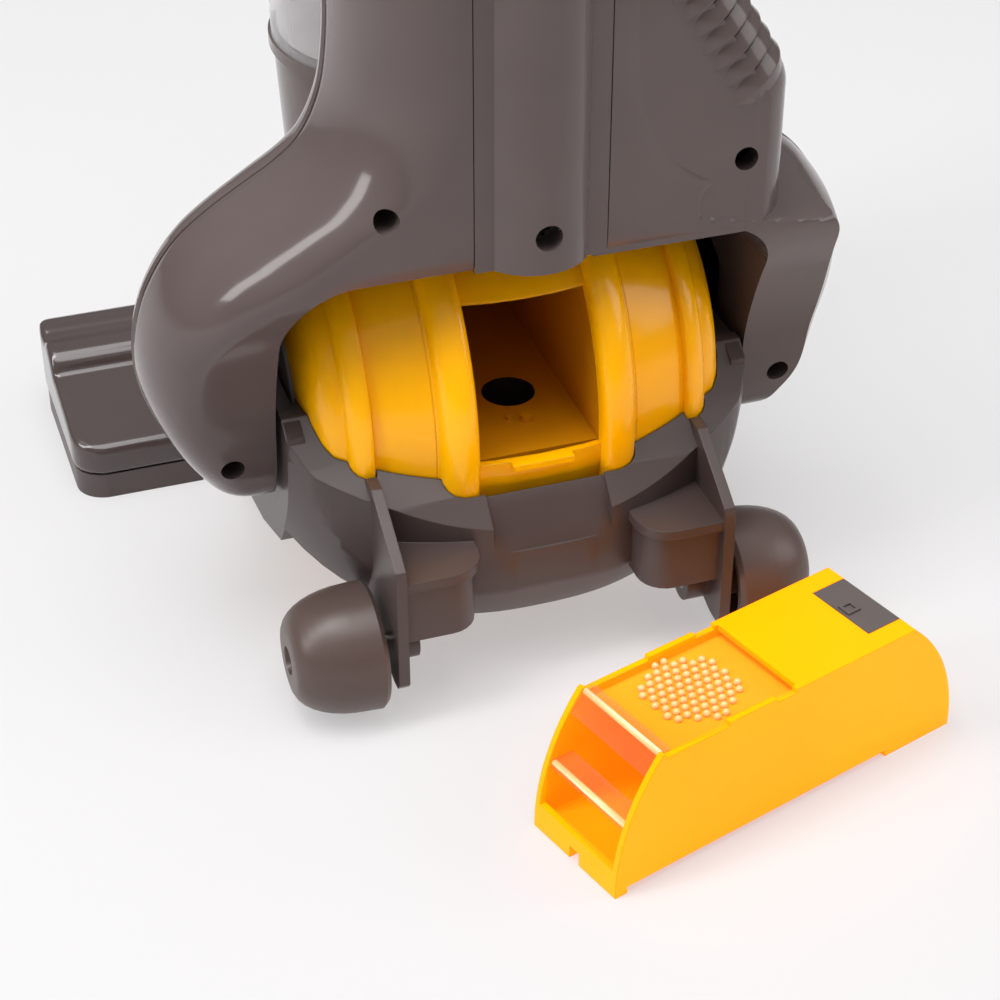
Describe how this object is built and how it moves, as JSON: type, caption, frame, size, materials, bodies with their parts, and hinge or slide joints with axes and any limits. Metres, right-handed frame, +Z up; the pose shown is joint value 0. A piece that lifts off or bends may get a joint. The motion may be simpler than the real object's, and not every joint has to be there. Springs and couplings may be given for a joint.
{
  "type": "toy vacuum cleaner",
  "caption": "Toy upright vacuum cleaner: a yellow drum in a wheeled stand, a grey body that leans back about it, a clear bin, a loop handle and a dust drawer beside it.",
  "frame": {"origin": "on the floor under the drum axis, in the middle plane", "axes": "+Z up; +Y to the back, where the drawer slot is; X along the drum axis"},
  "size_m": [0.23, 0.2954, 0.69],
  "materials": {
    "shell_grey": "semi-gloss",
    "drum_yellow": "gloss",
    "sleeve_amber": "satin",
    "stand_dark": "matte",
    "wheel_dark": "semi-gloss",
    "silver_plastic": "satin",
    "steel": "brushed",
    "motor": "satin",
    "inner_dark": "matte",
    "clear_plastic": "clear",
    "amber_clear": "clear",
    "cyclone_orange": "gloss",
    "drawer_yellow": "gloss",
    "filter_orange": "satin",
    "cover_grey": "satin",
    "head_dark": "gloss",
    "sole_dark": "matte",
    "rocker_red": "gloss",
    "battery": "satin"
  },
  "bodies": {
    "chassis": {"stand_cradle": "stand_dark", "drum_shell": "drum_yellow", "drum_side_l": "drum_yellow", "drum_side_r": "drum_yellow", "drum_cap_l": "silver_plastic", "drum_cap_r": "silver_plastic", "slot_sleeve": "sleeve_amber", "suction_motor": "motor", "fan_cowl": "inner_dark", "pivot_pin_l": "steel", "pivot_pin_r": "steel", "neck_pin": "steel", "axle_l": "steel", "axle_r": "steel"},
    "upper_body": {"rear_shell": "shell_grey", "front_shell": "shell_grey", "spine_cover": "shell_grey", "ribbed_hose": "shell_grey", "shell_screws": "steel", "dust_bin": "clear_plastic", "bin_base": "shell_grey", "cyclone_core": "cyclone_orange", "bin_lid": "shell_grey", "handle_post": "silver_plastic", "grip_cuff": "cover_grey", "handle_grip": "shell_grey"},
    "wheel_left": {"wheel_l": "wheel_dark"},
    "wheel_right": {"wheel_r": "wheel_dark"},
    "fan_rotor": {"fan": "inner_dark"},
    "rocker": {"power_rocker": "rocker_red"},
    "head": {"head_cover": "head_dark", "head_sole": "sole_dark", "battery_cells": "battery", "battery_door": "sole_dark"},
    "drawer": {"drawer_tray": "drawer_yellow", "drawer_front": "amber_clear", "filter_plate": "filter_orange", "inlet_cover": "cover_grey"}
  },
  "joints": [
    {"name": "recline", "type": "hinge", "parent": "chassis", "child": "upper_body", "pos_m": [0, 0, 0.067], "axis": [-1, 0, 0], "range_deg": [0, 35]},
    {"name": "wheel_l_spin", "type": "hinge", "parent": "chassis", "child": "wheel_left", "pos_m": [0.065, 0.07, 0.0185], "axis": [1, 0, 0], "continuous": true},
    {"name": "wheel_r_spin", "type": "hinge", "parent": "chassis", "child": "wheel_right", "pos_m": [-0.065, 0.07, 0.0185], "axis": [1, 0, 0], "continuous": true},
    {"name": "head_pitch", "type": "hinge", "parent": "chassis", "child": "head", "pos_m": [0, -0.08, 0.02], "axis": [-1, 0, 0], "range_deg": [-8, 12]},
    {"name": "fan_spin", "type": "hinge", "parent": "chassis", "child": "fan_rotor", "pos_m": [-0.03, -0.008, 0.071], "axis": [1, 0, 0], "continuous": true},
    {"name": "rocker_tilt", "type": "hinge", "parent": "upper_body", "child": "rocker", "pos_m": [0, 0.06, 0.2455], "axis": [1, 0, 0], "range_deg": [-8, 8]},
    {"name": "drawer_lift", "type": "slide", "parent": "chassis", "child": "drawer", "axis": [0, 0, 1], "range_m": [0, 0.06]}
  ]
}
